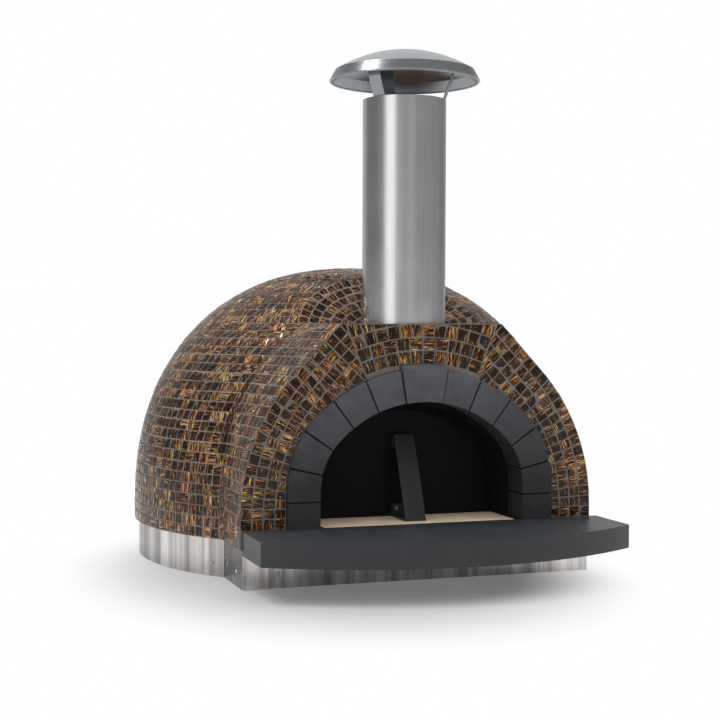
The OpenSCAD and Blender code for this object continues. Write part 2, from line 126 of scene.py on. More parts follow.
# Keeps a ray or an edge just clear of a boundary
SLIVER = 0.2 * MM
HAIR = 0.01 * MM

# The floor's painted soft shadow round the oven fades to white between two ovals, given as shares of the half
# sizes in x and y. Inside them it has a little painted glow.
FLOOR_MIDDLE = (-0.12, 0.15)
FLOOR_HALVES = (0.60, 0.75)
FADE_FROM, FADE_TO = 0.55, 1.02
FLOOR_PAINTED_GLOW = 0.15
FLOOR_REACH = 9

# Each square lamp's place, what it looks at, its side and its power. The key gives the soft light
# from the left, and the glint is seen in the squares near the dome's top.
LAMPS = {
    "key": ((-2.24, -0.18, 2.91), (-0.25, 0.14, 0.42), 0.55, 18),
    "glint": ((-1.55, 0.45, 3.4), (-0.25, 0.2, 0.45), 0.34, 34),
}

# Brightness of the studio walls by compass direction, as (share of a turn from +X, level)
WALLS = [
    (0.00, 0.32), (0.06, 0.26), (0.12, 0.40), (0.20, 0.62), (0.30, 0.55), (0.36, 0.26), (0.49, 0.26),
    (0.53, 0.40), (0.570, 1.55), (0.605, 1.60), (0.640, 0.52), (0.72, 0.42), (0.745, 0.52),
    (0.78, 0.38), (0.90, 0.34), (1.00, 0.32)]
# Share of that level that lights matt surfaces, and the ceiling's level for them and in reflections
WALLS_LIT = 0.80
CEILING = 1.80
CEILING_SEEN = 0.55
# Between these heights of a ray, as the sine of its slope, the walls turn into the ceiling
CEILING_FROM, CEILING_TO = 0.25, 0.85

# The camera that was solved from the photo: its place in metres, its yaw, pitch and roll in
# degrees, and its focal length and sensor width in millimetres
CAMERA_PLACE = (-1.0437, -2.6570, 0.5257)
CAMERA_TURN = (-18.9216, -1.6847, -0.2178)
CAMERA_LENS = 71.18
CAMERA_SENSOR = 36


# ------------------------------------------------------------------ small helpers


def link(obj):
    bpy.context.scene.collection.objects.link(obj)
    return obj


def unit(v):
    return v / max(np.linalg.norm(v), 1e-12)


def bevel(obj, width):
    """Rounds the sharp edges of obj, without changing its mesh."""
    b = obj.modifiers.new("bevel", "BEVEL")
    b.width = width
    b.segments = 3
    b.limit_method = "ANGLE"
    b.angle_limit = math.radians(30)
    b.harden_normals = True


# ------------------------------------------------------------------ material helpers


class Nodes:
    """A short way to write a node tree."""

    def __init__(self, tree):
        self.tree = tree

    def add(self, kind, **inputs):
        node = self.tree.nodes.new("ShaderNode" + kind)
        for key, value in inputs.items():
            self.put(node, key.replace("_", " "), value)
        return node

    def put(self, node, key, value):
        socket = node.inputs[int(key)] if key.isdigit() else node.inputs[key]
        if isinstance(value, bpy.types.NodeSocket):
            self.tree.links.new(value, socket)
        else:
            socket.default_value = value

    def along(self, space, axis):
        """One axis of a texture space, such as Normal or Object."""
        return self.add("SeparateXYZ", Vector=self.add("TexCoord").outputs[space]).outputs[axis]

    def place(self, scale=(1, 1, 1), shift=(0, 0, 0)):
        """Object coordinates, scaled and then shifted."""
        mapping = self.add("Mapping", Vector=self.add("TexCoord").outputs["Object"])
        mapping.inputs["Scale"].default_value = scale
        mapping.inputs["Location"].default_value = shift
        return mapping.outputs["Vector"]

    def noise(self, vector, scale, detail=3.0, roughness=0.5):
        node = self.add("TexNoise", Vector=vector, Scale=scale, Detail=detail, Roughness=roughness)
        return node.outputs["Fac"]

    def ramp(self, value, stops):
        node = self.add("ValToRGB", Fac=value)
        bar = node.color_ramp
        while len(bar.elements) < len(stops):
            bar.elements.new(0.5)
        for element, (at, colour) in zip(bar.elements, stops):
            element.position = at
            element.color = (*colour, 1) if len(colour) == 3 else colour
        return node.outputs["Color"]

    def math(self, operation, a, b=0.0, clamp=False):
        node = self.add("Math")
        node.operation = operation
        node.use_clamp = clamp
        self.put(node, "0", a)
        self.put(node, "1", b)
        return node.outputs[0]

    def span(self, value, low, high, to_low=0.0, to_high=1.0, kind="LINEAR"):
        """value, carried from the range low to high over to the range to_low to to_high."""
        node = self.add("MapRange", Value=value)
        node.interpolation_type = kind
        for key, number in zip(("From Min", "From Max", "To Min", "To Max"), (low, high, to_low, to_high)):
            self.put(node, key, number)
        return node.outputs["Result"]

    def blend(self, factor, a, b):
        """A number between a and b."""
        node = self.add("Mix")
        for key, value in (("0", factor), ("2", a), ("3", b)):
            self.put(node, key, value)
        return node.outputs[0]

    def mix(self, factor, a, b, blend="MIX"):
        """A colour between a and b."""
        node = self.tree.nodes.new("ShaderNodeMix")
        node.data_type = "RGBA"
        node.blend_type = blend
        for socket, value in ((node.inputs[0], factor), (node.inputs[6], a), (node.inputs[7], b)):
            if isinstance(value, bpy.types.NodeSocket):
                self.tree.links.new(value, socket)
            else:
                socket.default_value = value if isinstance(value, float) else (*value, 1)
        return node.outputs[2]

    def bump(self, height, strength, distance):
        node = self.add("Bump", Height=height, Strength=strength, Distance=distance)
        return node.outputs["Normal"]

    def scaled(self, colour, factor):
        node = self.add("VectorMath")
        node.operation = "SCALE"
        self.tree.links.new(colour, node.inputs[0])
        self.tree.links.new(factor, node.inputs["Scale"])
        return node.outputs[0]


class Material(Nodes):
    """A node material round one Principled shader."""

    def __init__(self, name):
        self.material = bpy.data.materials.new(name)
        self.material.use_nodes = True
        super().__init__(self.material.node_tree)
        self.shader = self.tree.nodes["Principled BSDF"]

    def set(self, **inputs):
        for key, value in inputs.items():
            if isinstance(value, tuple) and len(value) == 3:
                value = (*value, 1)
            self.put(self.shader, key.replace("_", " "), value)
        return self

    def shade(self, space, axis, low, high, low_scale, high_scale):
        """Paints light and shade into the colour: multiplies it by a factor that follows one axis of a
        texture space.
        """
        colour = self.shader.inputs["Base Color"].links[0].from_socket
        factor = self.span(self.along(space, axis), low, high, low_scale, high_scale)
        return self.set(Base_Color=self.scaled(colour, factor))


def times(colour, factor):
    return tuple(c * factor for c in colour)


# ------------------------------------------------------------------ materials


def glass_mosaic():
    """Brown glass with copper and gold streaks, each square different."""
    m = Material("glass_mosaic")
    local = m.add("UVMap")
    local.uv_map = "tile_uv"
    seed = m.add("UVMap")
    seed.uv_map = "tile_seed"
    split = m.add("SeparateXYZ", Vector=seed.outputs["UV"])
    tone, spark = split.outputs["X"], split.outputs["Y"]
    uv = m.add("SeparateXYZ", Vector=local.outputs["UV"])
    shift = m.math("MULTIPLY", tone, 91.7)
    shift_b = m.math("MULTIPLY", spark, 57.3)

    def pattern(across, along, detail, roughness):
        """Noise that changes at different rates across and along the streaks."""
        place = m.add(
            "CombineXYZ",
            X=m.math("ADD", m.math("MULTIPLY", bent, across), shift),
            Y=m.math("ADD", m.math("MULTIPLY", uv.outputs["Y"], along), shift_b),
            Z=shift)
        return m.noise(place.outputs["Vector"], 1.0, detail, roughness)

    moved = m.add(
        "CombineXYZ", X=m.math("ADD", uv.outputs["X"], shift), Y=m.math("ADD", uv.outputs["Y"], shift_b))
    wobble = m.noise(moved.outputs["Vector"], 1.6, 2.0)
    bent = m.math("ADD", uv.outputs["X"], m.math("MULTIPLY", wobble, 0.34))
    streak = pattern(17.0, 0.8, 3.0, 0.62)
    broad = pattern(2.6, 0.5, 1.0, 0.5)
    flake = pattern(34.0, 9.0, 3.0, 0.65)

    level = 0.36
    for part, weight in ((streak, 4.4), (broad, 0.9), (spark, 0.42), (flake, 0.5)):
        swing = m.math("MULTIPLY", m.math("SUBTRACT", part, 0.5), weight)
        level = m.math("ADD", swing, level, clamp=part is flake)
    colour = m.ramp(level, [
        (0.00, (0.005, 0.002, 0.001)), (0.28, (0.012, 0.005, 0.002)), (0.46, (0.029, 0.011, 0.0034)),
        (0.60, (0.068, 0.026, 0.006)), (0.74, (0.15, 0.060, 0.013)), (0.88, (0.36, 0.165, 0.038)),
        (1.00, (0.95, 0.64, 0.30))])
    tint = m.ramp(tone, [
        (0.00, (1.0, 0.86, 0.74)), (0.20, (0.98, 1.02, 0.70)), (0.38, (1.05, 0.80, 0.70)),
        (0.55, (0.80, 0.84, 1.00)), (0.70, (1.1, 0.80, 0.50)), (0.85, (0.95, 0.78, 0.95)),
        (1.00, (1.25, 0.88, 0.40))])
    colour = m.mix(1.0, colour, tint, "MULTIPLY")
    metal = m.span(level, 0.50, 0.80)
    height = m.math("ADD", m.math("MULTIPLY", streak, 0.6), m.math("MULTIPLY", flake, 0.25))
    return m.set(
        Base_Color=colour,
        Metallic=m.math("MULTIPLY", metal, 0.6),
        Roughness=m.span(flake, 0.3, 0.7, 0.22, 0.42),
        Specular_IOR_Level=0.12, Coat_Weight=0.28, Coat_Roughness=0.03,
        Normal=m.bump(height, 0.35, 0.6 * MM))


def grout():
    """Grey cement grout, a little blotchy."""
    m = Material("grout")
    fine = m.noise(m.place(), 420, 4.0, 0.6)
    broad = m.noise(m.place(), 14, 2.0)
    tint = m.mix(m.span(broad, 0.35, 0.65), (0.135, 0.115, 0.098), (0.205, 0.176, 0.15))
    colour = m.mix(m.span(fine, 0.3, 0.7, 0.0, 0.5), tint, (0.10, 0.085, 0.072))
    return m.set(Base_Color=colour, Roughness=0.85, Normal=m.bump(fine, 0.35, 0.4 * MM))


def brushed_steel(name, grain, tone=(0.62, 0.61, 0.60), rough=0.27, swing=0.10, stripes=None):
    """Stainless sheet: fine brush lines and faint handling marks. With stripes, as on the base, it also has a
    wavy surface, broad soft stripes of painted reflection, painted shade on faces turned straight sideways,
    such as the returned sides, and a painted shadow on the front under the shelf, darkest in its middle."""
    m = Material(name)
    lines = m.noise(m.place(grain), 1.0, 3.0, 0.7)
    broad = m.noise(m.place(), 9, 3.0)
    marks = m.noise(m.place(), 60, 5.0, 0.7)
    colour = m.mix(m.span(lines, 0.3, 0.7), times(tone, 0.88), tone)
    colour = m.mix(m.span(marks, 0.55, 0.8, 0.0, 0.12), colour, times(tone, 0.6))
    roughness = m.math("ADD", m.span(lines, 0.3, 0.7, rough - swing / 2, rough + swing / 2),
                       m.span(broad, 0.3, 0.7, -0.03, 0.05))
    normal = m.bump(lines, 0.10, 0.10 * MM)
    if stripes:
        ripple = m.noise(m.place(stripes), 1.0, 2.0, 0.55)
        # painted reflection: broad light and dark stripes of the studio walls, put into the colour
        shade = m.noise(m.place(times(stripes, 0.9)), 1.0, 3.0, 0.62)
        warm = m.noise(m.place(times(stripes, 0.7)), 1.3, 1.0)
        reflection_dark = m.mix(m.span(warm, 0.4, 0.6), times(tone, 0.42), (0.46, 0.37, 0.33))
        colour = m.mix(m.span(shade, 0.40, 0.58), reflection_dark, colour)
        # painted shade: faces turned straight sideways, such as the skirt's returned sides, are made much
        # darker
        painted_side_shade = m.span(m.math("ABSOLUTE", m.along("Normal", "X")), 0.985, 0.999, 0.0, 0.88)
        colour = m.mix(painted_side_shade, colour, times(tone, 0.10))
        # painted shadow of the shelf on the front face, darkest in the middle and gone towards the ends
        forwards = m.span(m.along("Normal", "Y"), -0.9999, -0.999, 1.0, 0.0)
        painted_shelf_shadow = m.span(m.math("ABSOLUTE", m.along("Object", "X")), 0.22, 0.31, 0.36, 0.0)
        colour = m.mix(m.math("MULTIPLY", forwards, painted_shelf_shadow), colour, (0.0, 0.0, 0.0))
        node = m.add("Bump", Height=ripple, Strength=1.0, Distance=4 * MM)
        m.tree.links.new(normal, node.inputs["Normal"])
        normal = node.outputs["Normal"]
    return m.set(Base_Color=colour, Metallic=1.0, Roughness=roughness, Normal=normal)


def cap_steel(name):
    """The rain cap: brushed steel, with painted shade on the skirt below its ridge, painted light on its
    crown and a little painted light on its underside.
    """
    m = brushed_steel(name, (8, 8, 500), (0.50, 0.53, 0.55), 0.26, 0.06)
    # painted light and shade: the crown, facing up, is lighter, and the skirt and underside darker
    m.shade("Normal", "Z", 0.55, 0.75, 0.50, 1.35)
    # painted light: the underside, facing down, is lightened again a little
    return m.shade("Normal", "Z", -0.30, 0.20, 1.20, 1.0)


def zinc(name):
    """Zinc-coated sheet with its soft spangle."""
    m = Material(name)
    cells = m.add("TexVoronoi", Vector=m.place(), Scale=90.0)
    spangle = m.noise(cells.outputs["Color"], 3.0, 1.0)
    colour = m.mix(m.span(spangle, 0.35, 0.65), (0.36, 0.38, 0.39), (0.50, 0.52, 0.53))
    return m.set(Base_Color=colour, Metallic=0.9, Roughness=m.span(spangle, 0.35, 0.65, 0.34, 0.48))


def cast(name, dark, light, scale, rough, relief, pits=0.0, specular=0.5):
    """Cast stone, brick or render: blotches, fine grain and a few pits."""
    m = Material(name)
    broad = m.noise(m.place(), scale, 4.0, 0.6)
    fine = m.noise(m.place(), scale * 24, 4.0, 0.65)
    speck = m.add("TexVoronoi", Vector=m.place(), Scale=scale * 16.0)
    hole = m.span(speck.outputs["Distance"], 0.0, 0.16, 1.0, 0.0)
    some = m.math("MULTIPLY", hole, m.span(fine, 0.52, 0.6))
    colour = m.mix(m.span(broad, 0.35, 0.65), dark, light)
    colour = m.mix(m.span(fine, 0.35, 0.7, 0.0, 0.35), colour, times(light, 1.5))
    colour = m.mix(m.math("MULTIPLY", some, pits), colour, times(dark, 0.35))
    height = m.math("ADD", fine, m.math("MULTIPLY", broad, 0.6))
    height = m.math("SUBTRACT", height, m.math("MULTIPLY", some, pits))
    return m.set(Base_Color=colour, Roughness=m.span(fine, 0.3, 0.7, rough - 0.06, rough + 0.06),
                 Specular_IOR_Level=specular, Normal=m.bump(height, 0.5, relief))


def dressed_stone(name):
    """The arch stones: cast stone, with painted light making them paler towards the crown of the arch and
    painted shade making them darker to its right.
    """
    m = cast(name, (0.014, 0.015, 0.017), (0.022, 0.023, 0.026), 34, 0.66, 0.22 * MM, 0.5)
    # painted light: paler with height
    m.shade("Object", "Z", 0.20, 0.42, 1.0, 3.8)
    # painted shade: darker to the right
    return m.shade("Object", "X", 0.08, 0.22, 1.0, 0.78)


def cast_shelf(name):
    """The landing shelf: smooth cast stone, with painted light on its top and painted shade on its front and
    sides.
    """
    m = cast(name, (0.016, 0.018, 0.022), (0.024, 0.027, 0.032), 26, 0.38, 0.10 * MM, 0.3)
    # painted light and shade: the top is lighter, faces that don't face up are darker
    return m.shade("Normal", "Z", 0.3, 0.8, 0.66, 1.35)


def painted(name, tone, rough, specular):
    """Matt heat-proof paint on sheet steel, with a fine speckle."""
    m = Material(name)
    fine = m.noise(m.place(), 900, 3.0, 0.6)
    broad = m.noise(m.place(), 11, 3.0)
    colour = m.mix(m.span(broad, 0.3, 0.7), times(tone, 0.8), times(tone, 1.25))
    colour = m.mix(m.span(fine, 0.62, 0.72, 0.0, 0.5), colour, times(tone, 3.0))
    return m.set(Base_Color=colour, Roughness=m.span(fine, 0.3, 0.7, rough - 0.05, rough + 0.08),
                 Specular_IOR_Level=specular, Normal=m.bump(fine, 0.3, 0.15 * MM))


def fibre(name, tone):
    """Matted white insulation."""
    m = Material(name)
    strand = m.noise(m.place((1, 1, 5)), 260, 6.0, 0.75)
    broad = m.noise(m.place(), 12, 3.0)
    colour = m.mix(m.span(broad, 0.3, 0.7), times(tone, 0.88), tone)
    colour = m.mix(m.span(strand, 0.3, 0.5, 0.35, 0.0), colour, times(tone, 0.6))
    return m.set(Base_Color=colour, Roughness=0.95, Normal=m.bump(strand, 0.8, 1.0 * MM))


MATERIALS = {
    "mosaic": glass_mosaic(),
    "grout": grout(),
    "brushed_steel": brushed_steel("brushed_steel", (700, 700, 5), (0.61, 0.605, 0.62), 0.22, 0.04),
    "sheet_steel": brushed_steel(
        "sheet_steel", (900, 900, 6), (0.74, 0.73, 0.72), 0.15, 0.05, (30, 30, 0.4)),
    "cap_steel": cap_steel("cap_steel"),
    "fastener": brushed_steel("fastener", (300, 300, 300), (0.50, 0.50, 0.50), 0.32),
    "galvanised": zinc("galvanised"),
    "concrete": cast("concrete", (0.36, 0.35, 0.33), (0.46, 0.45, 0.43), 16, 0.9, 0.6 * MM, 0.7),
    "board": cast("board", (0.62, 0.59, 0.52), (0.72, 0.69, 0.62), 20, 0.92, 0.3 * MM, 0.2),
    "firebrick": cast("firebrick", (0.60, 0.45, 0.30), (0.74, 0.58, 0.41), 30, 0.88, 0.4 * MM, 0.6),
    "shelf": cast_shelf("shelf"),
    "refractory": cast("refractory", (0.050, 0.046, 0.042), (0.10, 0.09, 0.08), 18, 0.92, 0.6 * MM, 0.5),
    "sooted": cast("sooted", (0.003, 0.003, 0.004), (0.008, 0.008, 0.009), 30, 0.85, 0.3 * MM, 0.4, 0.15),
    "render": cast("render", (0.34, 0.33, 0.31), (0.44, 0.43, 0.41), 22, 0.94, 0.8 * MM, 0.3),
    "stone": dressed_stone("stone"),
    "mortar": cast("mortar", (0.010, 0.010, 0.010), (0.020, 0.020, 0.020), 60, 0.95, 0.3 * MM, 0.4),
    "blanket": fibre("blanket", (0.82, 0.82, 0.79)),
    "door_black": painted("door_black", (0.0035, 0.0035, 0.0045), 0.62, 0.18),
    "strap_black": painted("strap_black", (0.022, 0.022, 0.026), 0.45, 0.45),
}


def finish(obj, slot, material=None):
    """Gives obj a material, which shares its slot's name unless material is given."""
    obj.data.materials.clear()
    obj.data.materials.append(MATERIALS[material or slot].material)
    return obj


# ------------------------------------------------------------------ surfaces of the oven


def dome_radius(z):
    """Radius of the dome at height z."""
    t = min(1.0, max(0.0, (z - DOME_SPRING) / DOME_RISE))
    return DOME_R * max(0.0, 1 - t ** RISE_POWER) ** (1 / FALL_POWER)


def face_half_width(z):
    """Half width of the front face at height z."""
    if z <= SHOULDER_Z:
        return FACE_HALF
    if z <= SHOULDER_END:
        return SHOULDER_X + math.sqrt(SHOULDER_R ** 2 - (z - SHOULDER_Z) ** 2)
    end_x = SHOULDER_X + SHOULDER_R * math.cos(SHOULDER_TURN)
    return end_x - (z - SHOULDER_END) * math.tan(SHOULDER_TURN)


def seam_depth(z):
    """How far behind the front the seam between hood and dome is, at height z."""
    return SEAM_FOOT + SEAM_LEAN * (z - BAND_H)


def exact_seam(z):
    """Half width of the hood where it meets the dome, at height z."""
    reach = dome_radius(z) ** 2 - (DOME_Y - seam_depth(z)) ** 2
    return max(face_half_width(z), math.sqrt(max(0.0, reach)))


# The seam is straight between these heights: the band's top, steps round the shoulder and steps
# up the slope
SHOULDER_STEPS = 10
SLOPE_STEPS = 4
SEAM_HEIGHTS = [BAND_H]
SEAM_HEIGHTS += [
    SHOULDER_Z + SHOULDER_R * math.sin(SHOULDER_TURN * k / SHOULDER_STEPS) for k in range(SHOULDER_STEPS + 1)]
SEAM_HEIGHTS += [SHOULDER_END + (DECK_Z - SHOULDER_END) * k / SLOPE_STEPS for k in range(1, SLOPE_STEPS + 1)]
SEAM_HALVES = [exact_seam(z) for z in SEAM_HEIGHTS]


def mosaic_skin():
    """The outside of the mosaic, to lay tiles on."""
    points, faces = [], []
    for node in ("dome_mosaic", "deck_mosaic", "face_mosaic"):
        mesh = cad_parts[node].data
        faces += [[len(points) + v for v in face.vertices] for face in mesh.polygons]
        points += [v.co for v in mesh.vertices]
    return BVHTree.FromPolygons(points, faces)


SKIN = mosaic_skin()


def seam_point(z):
    """The seam at height z, as (half width, depth)."""
    return float(np.interp(z, SEAM_HEIGHTS, SEAM_HALVES)), seam_depth(z)


def hood_half(y, z, side):
    """Half width of the hood at depth y and height z, measured on the mosaic's own side."""
    inside = min(max(y, SLIVER), seam_depth(z) - SLIVER)
    start = Vector((side * 2 * dome_high.x, inside, min(z, DECK_Z - SLIVER)))
    hit = SKIN.ray_cast(start, Vector((-side, 0, 0)))[0]
    return abs(hit.x) if hit else seam_point(z)[0]


def patch_front(z):
    """Where the leaning patch lies at height z."""
    return PATCH_Y + PATCH_LEAN * (z - DECK_Z)


def course_path(z):
    """One half course at height z, as (hood side length, start angle, radius): a straight
    run from the front edge to the seam, then an arc round to the back."""
    r = dome_radius(z)
    if z < DECK_Z:
        x, y = seam_point(z)
        return math.hypot(x - face_half_width(z), y), math.atan2(DOME_Y - y, x), r
    depth = DOME_Y - patch_front(z)
    return 0.0, math.asin(min(1.0, depth / max(r, 1e-6))), r


def course_length(z):
    """Length of the half course at height z."""
    straight, start, r = course_path(z)
    return straight + r * (math.pi / 2 + start)


def course_point(z, f, side):
    """The point a share f of the way along the half course at height z, from the front edge to
    the back. side is 1 on the right and -1 on the left."""
    straight, start, r = course_path(z)
    s = f * course_length(z)
    if s < straight:
        y = seam_point(z)[1] * s / straight
        return np.array([side * hood_half(y, z, side), y, z])
    a = start - (s - straight) / max(r, 1e-6)
    return np.array([side * r * math.cos(a), DOME_Y - r * math.sin(a), z])


def meridian_heights():
    """Heights of the course joints, evenly spaced up the dome's curve, one level with the deck."""
    count = 4000
    # finer towards the crown, where the curve lies flat
    fine = [BAND_H + (dome_high.z - BAND_H) * (1 - (1 - k / count) ** 3) for k in range(count + 1)]
    run = [0.0]
    for low, high in zip(fine, fine[1:]):
        run.append(run[-1] + math.hypot(high - low, dome_radius(high) - dome_radius(low)))
    to_deck = float(np.interp(DECK_Z, fine, run))
    lower = round(to_deck / PITCH)
    upper = round((run[-1] - to_deck) / PITCH)
    marks = [to_deck * k / lower for k in range(lower)]
    marks += [to_deck + (run[-1] - to_deck) * k / upper for k in range(upper + 1)]
    return [float(np.interp(mark, run, fine)) for mark in marks]


# ------------------------------------------------------------------ mosaic tiles


class TileSheet:
    """Collects tiles as small bevelled slabs, each with its own pattern seed."""

    def __init__(self):
        self.verts, self.faces, self.smooth, self.uvs, self.seeds = [], [], [], [], []

    def add(self, corners, outward, along):
        """Adds one square inside corners, half a joint in from them. outward is roughly its normal,
        and along runs the way of its course."""
        pts = [np.array(p) for p in corners]
        pts = [p for n, p in enumerate(pts) if np.linalg.norm(p - pts[n - 1]) > SAME_CORNER]
        if len(pts) < 3:
            return
        centre = sum(pts) / len(pts)
        pairs = zip(pts, pts[1:] + pts[:1])
        normal = unit(sum(np.cross(p - centre, q - centre) for p, q in pairs))
        if normal @ outward < 0:
            pts.reverse()
            normal = -normal
        normal = unit(normal + rng.normal(0, TILT, 3))
        u = unit(along - normal * (along @ normal))
        v = np.cross(normal, u)
        flat = [np.array([(p - centre) @ u, (p - centre) @ v]) for p in pts]
        inward = []
        for n, p in enumerate(flat):
            edge = unit(flat[(n + 1) % len(flat)] - p)
            inward.append(np.array([-edge[1], edge[0]]))
        reach = min(-inward[n] @ p for n, p in enumerate(flat)) - GROUT / 2
        if reach < SMALLEST / 2:
            return
        soft = min(1.0, reach / FULL_REACH)
        lift = rng.normal(0, UNEVEN)
        # each ring of points as (distance in from the corners, height), from the flat top down
        rings = [(GROUT / 2 + step * soft, PROUD + lift - drop * soft) for step, drop in SOFT_EDGE]
        rings.append((GROUT / 2, -DEEP))
        turn = rng.random() < TURNED
        seed = rng.random(2)
        base, count = len(self.verts), len(flat)
        for step, height in rings:
            for n, p in enumerate(flat):
                a, b = inward[n - 1], inward[n]
                q = p + step * (a + b) / max(0.35, 1 + a @ b)
                self.verts.append(centre + u * q[0] + v * q[1] + normal * height)
                place = q / PITCH + 0.5
                self.uvs.append((place[1], place[0]) if turn else (place[0], place[1]))
        top = list(range(base, base + count))
        self.put(top, False, seed)
        for ring in range(3):
            low = base + ring * count
            for n in range(count):
                m = (n + 1) % count
                self.put([low + count + n, low + count + m, low + m, low + n], ring < 2, seed)
        self.put([base + 3 * count + n for n in reversed(range(count))], False, seed)

    def put(self, face, smooth, seed):
        """Notes one face, with the square's seed at each of its corners."""
        self.faces.append(face)
        self.smooth.append(smooth)
        self.seeds.extend([seed] * len(face))

    def build(self, name):
        """Makes one object of all the squares."""
        mesh = bpy.data.meshes.new(name)
        mesh.from_pydata([tuple(v) for v in self.verts], [], self.faces)
        mesh.polygons.foreach_set("use_smooth", self.smooth)
        loops = np.empty(len(mesh.loops), np.int32)
        mesh.loops.foreach_get("vertex_index", loops)
        mesh.uv_layers.new(name="tile_uv").data.foreach_set("uv", np.array(self.uvs)[loops].ravel())
        mesh.uv_layers.new(name="tile_seed").data.foreach_set("uv", np.array(self.seeds).ravel())
        obj = link(bpy.data.objects.new(name, mesh))
        finish(obj, "mosaic")
        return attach(obj, "oven")


def clip(corners, keep):
    """The part of a polygon where keep(point) is at least 0."""
    values = [keep(p) for p in corners]
    kept = []
    for n, p in enumerate(corners):
        q, a, b = corners[n - 1], values[n - 1], values[n]
        if (a < 0) != (b < 0):
            kept.append(q + (p - q) * (a / (a - b)))
        if b >= 0:
            kept.append(p)
    return kept


def mirrored(corners):
    """The same polygon on the other side of the middle."""
    return [np.array([-p[0], p[1], p[2]]) for p in corners]


def dome_tiles():
    """Courses round the dome and along the sides of the hood, both halves."""
    heights = meridian_heights()
    dome, hood = TileSheet(), TileSheet()
    for low, high in zip(heights, heights[1:]):
        if dome_radius(high) < CROWN_EDGE:
            break
        for side in (1, -1):
            place_course(dome, hood, low, high, side)
    crown_tiles(dome, heights)
    return dome.build("dome_tiles"), hood.build("hood_side_tiles")


def place_course(dome, hood, low, high, side):
    """Half a course between two heights, shared out between the dome's sheet and the hood's."""
    middle = (low + high) / 2
    if middle < DECK_Z:
        high = min(high, DECK_Z - HAIR)
    else:
        low = max(low, DECK_Z + HAIR)
    count = max(3, round(course_length(middle) / PITCH))
    hood_length = course_path(middle)[0]
    for n in range(count):
        f0, f1 = n / count, (n + 1) / count
        quad = [course_point(z, f, side) for z, f in ((low, f0), (low, f1), (high, f1), (high, f0))]
        centre = sum(quad) / len(quad)
        outward = np.array([centre[0], centre[1] - DOME_Y, 0.3])
        # a square lies on the highest points under it, so nothing pokes through it
        across = (f0, (f0 + f1) / 2, f1)
        skin = quad + [course_point(z, f, side) for z in (low, middle, high) for f in across]
        normal = unit(np.cross(quad[2] - quad[0], quad[3] - quad[1]))
        normal = normal if normal @ outward > 0 else -normal
        bulge = max((p - centre) @ normal for p in skin)
        quad = [p + normal * bulge for p in quad]
        sheet = hood if (f0 + f1) / 2 * course_length(middle) < hood_length else dome
        sheet.add(quad, outward, quad[1] - quad[0])


def crown_tiles(sheet, heights):
    """The few tiles that close the crown, as a small square grid cut to a circle."""
    last = max(z for z in heights if dome_radius(z) >= CROWN_EDGE)
    edge = dome_radius(last)
    for i in range(-2, 2):
        for j in range(-2, 2):
            flat = [(i, j), (i + 1, j), (i + 1, j + 1), (i, j + 1)]
            quad = [np.array([a * PITCH, DOME_Y + b * PITCH, dome_high.z - CROWN_SINK]) for a, b in flat]
            for k in range(CROWN_CUTS):
                turn = 2 * math.pi * k / CROWN_CUTS
                out = np.array([math.cos(turn), math.sin(turn)])
                quad = clip(quad, lambda p: edge - out @ np.array([p[0], p[1] - DOME_Y]))
            if len(quad) > 2:
                sheet.add(quad, np.array([0, 0, 1.0]), np.array([1.0, 0, 0]))


def deck_tiles():
    """The flat deck round the chimney and the leaning patch behind it."""
    sheet = TileSheet()
    depth = PATCH_Y / DECK_ROWS
    up = np.array([0, 0, 1.0])
    for row in range(DECK_ROWS):
        for column in range(DECK_COLUMNS):
            quad = []
            for i, j in ((0, 0), (1, 0), (1, 1), (0, 1)):
                y = (row + j) * depth
                half = hood_half(y, DECK_Z, 1)
                quad.append(np.array([-half + 2 * half * (column + i) / DECK_COLUMNS, y, DECK_Z]))
            if all(math.hypot(p[0], p[1] - PIPE_Y) < PIPE_R for p in quad):
                continue
            sheet.add(quad, up, np.array([1.0, 0, 0]))
    patch_tiles(sheet)
    return sheet.build("deck_tiles")


def running_length(points):
    """The length from the first point to each point of a line."""
    return np.concatenate([[0], np.cumsum([np.linalg.norm(b - a) for a, b in zip(points, points[1:])])])


